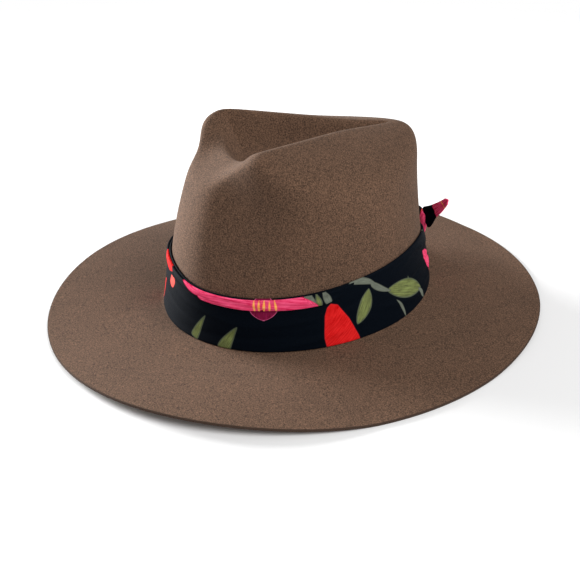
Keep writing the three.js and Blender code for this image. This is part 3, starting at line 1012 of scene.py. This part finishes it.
def group(name, inputs, outputs):
    """A node group with named inputs and outputs and its two end nodes."""
    tree = bpy.data.node_groups.new(name, "ShaderNodeTree")
    for key, kind, value in inputs:
        socket = tree.interface.new_socket(key, in_out="INPUT", socket_type=f"NodeSocket{kind}")
        socket.default_value = value
    for key, kind in outputs:
        tree.interface.new_socket(key, in_out="OUTPUT", socket_type=f"NodeSocket{kind}")
    start = node(tree, "NodeGroupInput", (-900, 0))
    end = node(tree, "NodeGroupOutput", (900, 0))
    return tree, start, end


def use_group(tree, name, at, **values):
    """A node that uses a group, with its inputs' values."""
    made = tree.nodes.new("ShaderNodeGroup")
    made.node_tree = bpy.data.node_groups[name]
    made.location = at
    for key, value in values.items():
        made.inputs[key].default_value = value
    return made


# A Mix node's sockets for colours: the share and the two colours, and the result
COLOUR_MIX_INPUTS = (0, 6, 7)
COLOUR_MIX_OUTPUT = 2


def mix_colour(tree, at, share, first, second):
    """A colour mix; each of its inputs is a value or another node's output."""
    mix = tree.nodes.new("ShaderNodeMix")
    mix.data_type = "RGBA"
    mix.location = at
    targets = [mix.inputs[i] for i in COLOUR_MIX_INPUTS]
    for target, value in zip(targets, (share, first, second)):
        set_input(tree, target, value)
    return mix.outputs[COLOUR_MIX_OUTPUT]


def maths(tree, at, operation, *values):
    """A maths node whose inputs are values or outputs of other nodes."""
    made = node(tree, "ShaderNodeMath", at, operation=operation)
    for target, value in zip(made.inputs, values):
        set_input(tree, target, value)
    return made.outputs[0]


def noise(tree, at, vector, look):
    """A noise texture over a vector, by its scale, detail and roughness."""
    scale, detail, roughness = look
    made = node(tree, "ShaderNodeTexNoise", at,
                inputs={"Scale": scale, "Detail": detail, "Roughness": roughness})
    link(tree, vector, made.inputs["Vector"])
    return made.outputs["Fac"]


# Noises of the felt, from the finest fibres to slow blotches. Columns: scale, detail and
# roughness of the noise, and how far it lightens and darkens the wool
FIBRE_NOISES = (
    ((1150, 2, 0.6), 3.0),
    ((330, 2, 0.6), 0.45),
    ((24, 3, 0.55), 0.35),
)
NAP_NOISE = (1500, 2, 0.6)
NAP_RISE = 0.6
FIBRE_RISE = 0.8
# The darkest fibre as a share of the felt's colour, and the painted shade colour of the raw cut edge
DARKEST_FIBRE = 0.25
CUT_SHADE_COLOUR = (0.045, 0.026, 0.018, 1)


def fibre_group():
    """Heathered wool: fine dark and light fibres over slow blotches, as a colour and a height."""
    tree, start, end = group(
        "felt fibres",
        [("Position", "Vector", (0, 0, 0)), ("Colour", "Color", (0.2, 0.12, 0.08, 1)),
         ("Contrast", "Float", 0.3), ("Cut Shade", "Float", 0.0)],
        [("Colour", "Color"), ("Height", "Float")],
    )
    place = start.outputs["Position"]
    # A noise is one half on average, so half of each gain is taken off
    light = -sum(gain for _, gain in FIBRE_NOISES) / 2
    layers = []
    for i, (look, gain) in enumerate(FIBRE_NOISES):
        layers.append(noise(tree, (-600, 300 - 200 * i), place, look))
        light = maths(tree, (-350 + 150 * i, 250), "MULTIPLY_ADD", layers[i], gain, light)
    share = maths(tree, (200, 150), "MULTIPLY_ADD", light, start.outputs["Contrast"], 1.0)
    share = maths(tree, (350, 150), "MAXIMUM", share, DARKEST_FIBRE)
    wool = node(tree, "ShaderNodeVectorMath", (500, 100), operation="SCALE")
    link(tree, start.outputs["Colour"], wool.inputs[0])
    link(tree, share, wool.inputs["Scale"])
    # Painted shade: where the raw cut is marked, the wool's colour is mixed towards a dark shade
    # colour
    colour = mix_colour(tree, (650, -100), start.outputs["Cut Shade"], wool.outputs[0], CUT_SHADE_COLOUR)
    link(tree, colour, end.inputs["Colour"])
    nap = noise(tree, (-600, -300), place, NAP_NOISE)
    relief = maths(tree, (-300, -250), "MULTIPLY", layers[0], FIBRE_RISE)
    relief = maths(tree, (-100, -250), "MULTIPLY_ADD", nap, NAP_RISE, relief)
    link(tree, relief, end.inputs["Height"])


# Noise of the uneven thread, by scale, detail and roughness, and the height of the weave over it
THREAD_NOISE = (700, 3, 0.6)
WEAVE_RISE = 0.3


def weave_group():
    """Plain weave of fine thread over cloth coordinates in metres: a height and a thread value."""
    tree, start, end = group(
        "fine weave",
        [("Cloth", "Vector", (0, 0, 0)), ("Threads", "Float", 1500.0)],
        [("Height", "Float"), ("Thread", "Float")],
    )
    part = node(tree, "ShaderNodeSeparateXYZ", (-700, 0))
    link(tree, start.outputs["Cloth"], part.inputs[0])
    waves = []
    for i, axis in enumerate("XY"):
        turn = maths(
            tree, (-500, -150 * i), "MULTIPLY", part.outputs[axis], start.outputs["Threads"]
        )
        waves.append(maths(tree, (-300, -150 * i), "SINE", turn))
    weave = maths(tree, (-100, 0), "MULTIPLY", *waves)
    thread = noise(tree, (-300, -350), start.outputs["Cloth"], THREAD_NOISE)
    height = maths(tree, (150, 0), "MULTIPLY_ADD", weave, WEAVE_RISE, thread)
    link(tree, height, end.inputs["Height"])
    link(tree, thread, end.inputs["Thread"])


# Half the softness of a motif's edge, and where its rim starts to fade, in millimetres
PRINT_EDGE = 0.22
RIM_START = 0.1


def motif_group():
    """One colour of the print over the colour below it: a soft edge where the distance passes
    zero, a fill between two tones by the brush strokes, and a thin rim of another tone."""
    tree, start, end = group(
        "printed motif",
        [("Below", "Color", (0, 0, 0, 1)), ("Distance", "Float", FAR),
         ("Stroke", "Float", 0.5), ("Dark", "Color", (0, 0, 0, 1)),
         ("Light", "Color", (1, 1, 1, 1)), ("Rim", "Color", (1, 1, 1, 1)),
         ("Rim Width", "Float", 0.5)],
        [("Colour", "Color")],
    )
    inside = node(tree, "ShaderNodeMapRange", (-500, 200), interpolation_type="SMOOTHSTEP",
                  inputs={"From Min": -PRINT_EDGE, "From Max": PRINT_EDGE})
    link(tree, start.outputs["Distance"], inside.inputs["Value"])
    rim = node(tree, "ShaderNodeMapRange", (-500, -100), interpolation_type="SMOOTHSTEP",
               inputs={"From Min": RIM_START})
    link(tree, start.outputs["Distance"], rim.inputs["Value"])
    link(tree, start.outputs["Rim Width"], rim.inputs["From Max"])
    fill = mix_colour(tree, (-200, 0), start.outputs["Stroke"], start.outputs["Dark"],
                      start.outputs["Light"])
    rimmed = mix_colour(tree, (100, 0), rim.outputs["Result"], start.outputs["Rim"], fill)
    done = mix_colour(tree, (400, 0), inside.outputs["Result"], start.outputs["Below"], rimmed)
    link(tree, done, end.inputs["Colour"])


# Colours of the print, from the first laid down to the last. Columns: the colour, its dark and
# light tones, its rim and the rim's width in millimetres.
PRINT_COLOURS = (
    ("moss", (0.075, 0.085, 0.035), (0.21, 0.25, 0.08), (0.075, 0.09, 0.06), 1.6),
    ("sage", (0.09, 0.10, 0.08), (0.17, 0.19, 0.15), (0.08, 0.09, 0.07), 0.5),
    ("salmon", (0.62, 0.05, 0.045), (0.85, 0.14, 0.11), (0.45, 0.03, 0.03), 0.5),
    ("berry", (0.13, 0.004, 0.025), (0.25, 0.010, 0.06), (0.70, 0.12, 0.27), 0.9),
    ("rose", (0.60, 0.002, 0.055), (0.95, 0.11, 0.25), (0.40, 0.002, 0.04), 0.5),
    ("red", (0.52, 0.001, 0.002), (0.80, 0.022, 0.022), (0.50, 0.015, 0.02), 0.6),
    ("ray", (0.95, 0.26, 0.04), (1.0, 0.56, 0.16), (0.95, 0.30, 0.08), 0.25),
)


# Brush strokes of the print: how many to a motif's length and half width, the noise that makes
# them, its gain and its shift. The wash is slower and lies over them all
BRUSH_ALONG = 0.8
BRUSH_ACROSS = 2.6
STROKE_NOISE = (3.2, 4, 0.6)
STROKE_GAIN = 3.2
STROKE_SHIFT = -1.5
WASH_NOISE = (160, 3, 0.6)
WASH_GAIN = 0.9
# Values on the shaders' own sockets, and the strength and depth in metres of their fine relief
SCARF_FINISH = {
    "Roughness": 0.72, "Specular IOR Level": 0.045, "Sheen Weight": 0.006, "Sheen Roughness": 0.4,
}
SCARF_RELIEF = (0.35, 0.0002)
FELT_FINISH = {
    "Roughness": 0.95, "Specular IOR Level": 0.2, "Sheen Weight": 0.05, "Sheen Roughness": 0.6,
    "Sheen Tint": (0.8, 0.68, 0.58, 1),
}
FELT_RELIEF = (0.6, 0.0005)


def attribute(tree, at, name):
    """The value of a named attribute of the mesh."""
    return node(tree, "ShaderNodeAttribute", at, attribute_name=name).outputs["Fac"]


def brush_strokes(tree, cloth):
    """0 to 1 for dark to light paint: noise stretched along each motif, with a slow wash."""
    brush = node(tree, "ShaderNodeCombineXYZ", (-1300, 200))
    for i, (name, count) in enumerate((("reach", BRUSH_ALONG), ("across", BRUSH_ACROSS))):
        share = attribute(tree, (-1500, 300 - 200 * i), name)
        link(tree, maths(tree, (-1400, 300 - 200 * i), "MULTIPLY", share, count), brush.inputs[i])
    strokes = noise(tree, (-1150, 200), brush.outputs[0], STROKE_NOISE)
    wash = noise(tree, (-1150, 0), cloth, WASH_NOISE)
    paint = maths(tree, (-950, 150), "MULTIPLY_ADD", strokes, STROKE_GAIN, STROKE_SHIFT)
    paint = maths(tree, (-800, 150), "MULTIPLY_ADD", wash, WASH_GAIN, paint)
    clamped = node(tree, "ShaderNodeClamp", (-650, 150))
    link(tree, paint, clamped.inputs["Value"])
    return clamped.outputs["Result"]


def scarf_material(name, look):
    """Printed scarf cloth: near-black ground, motifs by attribute, fine weave and soft sheen."""
    material, tree, shader = new_material(name, SCARF_FINISH)
    cloth = node(tree, "ShaderNodeUVMap", (-1500, -300), uv_map="cloth").outputs["UV"]
    paint = brush_strokes(tree, cloth)
    weave = use_group(tree, "fine weave", (-1150, -300), Threads=look.threads)
    link(tree, cloth, weave.inputs["Cloth"])
    colour = mix_colour(tree, (-600, 400), weave.outputs["Thread"], (*look.ground, 1),
                        (*look.ground_light, 1))
    for i, (motif_name, dark, light, rim, width) in enumerate(PRINT_COLOURS):
        layer = use_group(tree, "printed motif", (-450 + 180 * i, 300), Dark=(*dark, 1),
                          Light=(*light, 1), Rim=(*rim, 1))
        layer.inputs["Rim Width"].default_value = width
        distance = attribute(tree, (-600 + 180 * i, -250), motif_name)
        link(tree, colour, layer.inputs["Below"])
        link(tree, distance, layer.inputs["Distance"])
        link(tree, paint, layer.inputs["Stroke"])
        colour = layer.outputs["Colour"]
    link(tree, colour, shader.inputs["Base Color"])
    add_bump(tree, shader, weave.outputs["Height"], *SCARF_RELIEF)
    return material


def felt_material(look):
    """Matte heathered felt with a nap, and painted shade on the raw cut edge where the attribute
    says so.
    """
    material, tree, shader = new_material("wool_felt", FELT_FINISH)
    place = node(tree, "ShaderNodeTexCoord", (-900, 0))
    fibres = use_group(tree, "felt fibres", (-500, 0), Colour=(*look.colour, 1),
                       Contrast=look.contrast)
    link(tree, place.outputs["Object"], fibres.inputs["Position"])
    # Painted shade on the raw cut edge, read from its attribute
    link(tree, attribute(tree, (-900, -300), "cut_shade"), fibres.inputs["Cut Shade"])
    link(tree, fibres.outputs["Colour"], shader.inputs["Base Color"])
    add_bump(tree, shader, fibres.outputs["Height"], *FELT_RELIEF)
    return material


class HatFeltLook(PropertyGroup):
    """Sizes and colours of the felt."""

    thickness: FloatProperty(
        name="Thickness", description="Thickness of the felt", default=0.002, unit="LENGTH"
    )
    colour: FloatVectorProperty(
        name="Felt colour", description="Main colour of the wool", subtype="COLOR",
        default=(0.104, 0.0575, 0.0352), size=3, min=0, max=1,
    )
    contrast: FloatProperty(
        name="Fibre contrast", description="How far the fibres differ from the colour", default=1.2
    )


class HatScarfLook(PropertyGroup):
    """Colours and cloth of the scarf."""

    ground: FloatVectorProperty(
        name="Ground", description="Dark of the scarf's ground", subtype="COLOR",
        default=(0.0002, 0.0011, 0.0028), size=3, min=0, max=1,
    )
    ground_light: FloatVectorProperty(
        name="Ground thread", description="Lighter threads of the ground", subtype="COLOR",
        default=(0.0012, 0.0035, 0.0075), size=3, min=0, max=1,
    )
    threads: FloatProperty(
        name="Threads", description="Thread turns to a metre of cloth", default=9000.0
    )


class HatStudioLook(PropertyGroup):
    """Colours and strengths of the stage."""

    floor: FloatVectorProperty(
        name="Floor colour", description="Colour of the plain floor", subtype="COLOR",
        default=(0.9, 0.9, 0.9), size=3, min=0, max=1,
    )
    key: FloatProperty(
        name="Key light", description="Power of the large soft light", default=170.0, unit="POWER"
    )
    fill: FloatProperty(
        name="Fill light", description="Power of the light behind", default=75.0, unit="POWER"
    )
    sky: FloatProperty(name="Sky", description="Strength of the even light", default=0.4)


class HAT_OT_materials(Operator):
    """Make the node groups that the materials share"""

    bl_idname = "hat.materials"
    bl_label = "Materials"

    def execute(self, context):
        fibre_group()
        weave_group()
        motif_group()
        return {"FINISHED"}


class HAT_OT_felt_body(Operator):
    """Make the felt crown and brim in one piece"""

    bl_idname = "hat.felt_body"
    bl_label = "Felt body"

    def execute(self, context):
        look = context.scene.hat_felt
        points, ends, cut_shade = felt_skin(look.thickness / MILLIMETRE)
        # The raw cut's attribute carries the painted shade of the cut edge
        felt = make_tube("felt_hat", points, ends, None, {"cut_shade": cut_shade})
        dress(felt, "felt_body", felt_material(look))
        return {"FINISHED"}


class HAT_OT_band(Operator):
    """Make the scarf's band round the crown"""

    bl_idname = "hat.band"
    bl_label = "Band"

    def execute(self, context):
        points, uv, values, ring = band_piece()
        quads = grid_faces(*points.shape[:2], wrap_rows=True)
        band = make_piece("band", points, quads, uv=uv, values=values)
        dress(band, "scarf_band", scarf_material("scarf", context.scene.hat_scarf))
        return {"FINISHED"}


class HAT_OT_fold(Operator):
    """Make the fold of the scarf over the band's top"""

    bl_idname = "hat.fold"
    bl_label = "Fold"

    def execute(self, context):
        fold = make_tube("fold", *fold_piece())
        material = scarf_material("scarf_fold", context.scene.hat_scarf)
        dress(fold, "scarf_fold", material)
        return {"FINISHED"}


class HAT_OT_knot(Operator):
    """Make the knot behind"""

    bl_idname = "hat.knot"
    bl_label = "Knot"

    def execute(self, context):
        knot = make_tube("knot", *knot_piece())
        material = scarf_material("scarf_knot", context.scene.hat_scarf)
        dress(knot, "scarf_knot", material)
        return {"FINISHED"}


class HAT_OT_tails(Operator):
    """Make the scarf's two free ends"""

    bl_idname = "hat.tails"
    bl_label = "Free ends"

    def execute(self, context):
        look = context.scene.hat_scarf
        for side, stations, twist, flat in (
            ("left", LEFT_TAIL, 0.8, (0.012, 0.028)),
            ("right", RIGHT_TAIL, -0.9, (0.012, 0.035)),
        ):
            tail = make_tube(f"tail_{side}", *tail_piece(stations, twist))
            material = scarf_material(f"scarf_tail_{side}", look)
            dress(tail, f"scarf_tail_{side}", material)
        return {"FINISHED"}


# The camera as fitted to the photograph, in metres, with its roll and its lens in millimetres
CAMERA_PLACE = Vector((0.48084, -0.21204, 0.29660))
CAMERA_AIM = Vector((0.00005, -0.00600, 0.00084))
CAMERA_ROLL = math.radians(-1.06)
CAMERA_LENS = 47.45
CAMERA_SENSOR = 36.0
CAMERA_REACH = (0.01, 100)
# The soft lights: places and sizes in metres, and the point that they are aimed at
KEY_PLACE = (-2.05, -1.49, 0.61)
KEY_SIZE = 1.2
FILL_PLACE = (1.93, 1.11, 2.04)
FILL_SIZE = 2.0
LIGHT_AIM = Vector((0, 0, 0.05))
# Half the floor's side in metres, and the distances from the hat's middle between which the
# floor fades into the white background
FLOOR_HALF = 4.0
FLOOR_WHOLE = 0.6
FLOOR_END = 1.5
FLOOR_FINISH = {"Roughness": 0.9}


def aimed(name, data, place, aim, roll=0.0):
    """An object at a place, looking at a point and rolled about that line of sight."""
    obj = bpy.data.objects.new(name, data)
    obj.location = place
    obj.rotation_mode = "QUATERNION"
    look = (aim - obj.location).to_track_quat("-Z", "Y")
    obj.rotation_quaternion = look @ Matrix.Rotation(roll, 3, "Z").to_quaternion()
    bpy.context.scene.collection.objects.link(obj)
    return obj


def soft_light(name, place, size, power):
    """A round area light at a place, aimed at the hat."""
    light = bpy.data.lights.new(name, "AREA")
    light.shape = "DISK"
    light.size = size
    light.energy = power
    aimed(name, light, place, LIGHT_AIM)


def photo_camera():
    """The camera at the photograph's viewing angle."""
    camera = bpy.data.cameras.new("camera")
    camera.lens = CAMERA_LENS
    camera.sensor_width = CAMERA_SENSOR
    camera.clip_start, camera.clip_end = CAMERA_REACH
    return aimed("camera", camera, CAMERA_PLACE, CAMERA_AIM, CAMERA_ROLL)


def floor_material(colour):
    """Plain pale floor that fades out by its distance from the hat's middle."""
    material, tree, shader = new_material("floor", FLOOR_FINISH)
    shader.inputs["Base Color"].default_value = (*colour, 1)
    middle = node(tree, "ShaderNodeTexCoord", (-900, 0))
    away = node(tree, "ShaderNodeVectorMath", (-600, 0), operation="LENGTH")
    link(tree, middle.outputs["Object"], away.inputs[0])
    fade = node(
        tree, "ShaderNodeMapRange", (-300, 0), interpolation_type="SMOOTHSTEP",
        inputs={"From Min": FLOOR_WHOLE, "From Max": FLOOR_END, "To Min": 1.0, "To Max": 0.0},
    )
    link(tree, away.outputs["Value"], fade.inputs["Value"])
    link(tree, fade.outputs["Result"], shader.inputs["Alpha"])
    return material


def plain_floor(colour):
    """A square floor under the hat."""
    half = FLOOR_HALF
    corners = [(-half, -half, 0), (half, -half, 0), (half, half, 0), (-half, half, 0)]
    mesh = bpy.data.meshes.new("floor")
    mesh.from_pydata(corners, [], [(0, 1, 2, 3)])
    mesh.materials.append(floor_material(colour))
    floor = bpy.data.objects.new("floor", mesh)
    bpy.context.scene.collection.objects.link(floor)


def even_sky(strength):
    """An even white light from all round, and plain white where the camera sees it."""
    world = bpy.data.worlds.new("studio")
    world.use_nodes = True
    tree = world.node_tree
    background = tree.nodes["Background"]
    background.inputs["Color"].default_value = (1, 1, 1, 1)
    seen = node(tree, "ShaderNodeLightPath", (-600, 0)).outputs["Is Camera Ray"]
    brightness = maths(tree, (-300, 0), "MULTIPLY_ADD", seen, 1 - strength, strength)
    link(tree, brightness, background.inputs["Strength"])
    return world


class HAT_OT_stage(Operator):
    """Make the camera, the floor and the soft lights"""

    bl_idname = "hat.stage"
    bl_label = "Stage"

    def execute(self, context):
        look = context.scene.hat_studio
        context.scene.camera = photo_camera()
        plain_floor(look.floor)
        context.scene.world = even_sky(look.sky)
        soft_light("key", KEY_PLACE, KEY_SIZE, look.key)
        soft_light("fill", FILL_PLACE, FILL_SIZE, look.fill)
        context.scene.view_settings.view_transform = "Standard"
        return {"FINISHED"}


class HAT_PT_panel(Panel):
    """Lists the hat's pieces"""

    bl_idname = "HAT_PT_panel"
    bl_label = "Wool felt hat"
    bl_space_type = "VIEW_3D"
    bl_region_type = "UI"
    bl_category = "Hat"

    def draw(self, context):
        for look in (context.scene.hat_felt, context.scene.hat_scarf, context.scene.hat_studio):
            for key in look.bl_rna.properties.keys():
                if key not in ("rna_type", "name"):
                    self.layout.prop(look, key)
        for name in PIECES:
            self.layout.operator(f"hat.{name}")


CLASSES = (
    HatFeltLook, HatScarfLook, HatStudioLook, HAT_OT_materials, HAT_OT_felt_body, HAT_OT_band,
    HAT_OT_fold, HAT_OT_knot, HAT_OT_tails, HAT_OT_stage, HAT_PT_panel,
)


def register():
    for cls in CLASSES:
        bpy.utils.register_class(cls)
    bpy.types.Scene.hat_felt = PointerProperty(type=HatFeltLook)
    bpy.types.Scene.hat_scarf = PointerProperty(type=HatScarfLook)
    bpy.types.Scene.hat_studio = PointerProperty(type=HatStudioLook)


def unregister():
    del bpy.types.Scene.hat_felt
    del bpy.types.Scene.hat_scarf
    del bpy.types.Scene.hat_studio
    for cls in reversed(CLASSES):
        bpy.utils.unregister_class(cls)


def main():
    register()
    for name in PIECES:
        if getattr(bpy.ops.hat, name)() != {"FINISHED"}:
            raise RuntimeError(f"{name} could not be made")


if __name__ == "__main__":
    main()
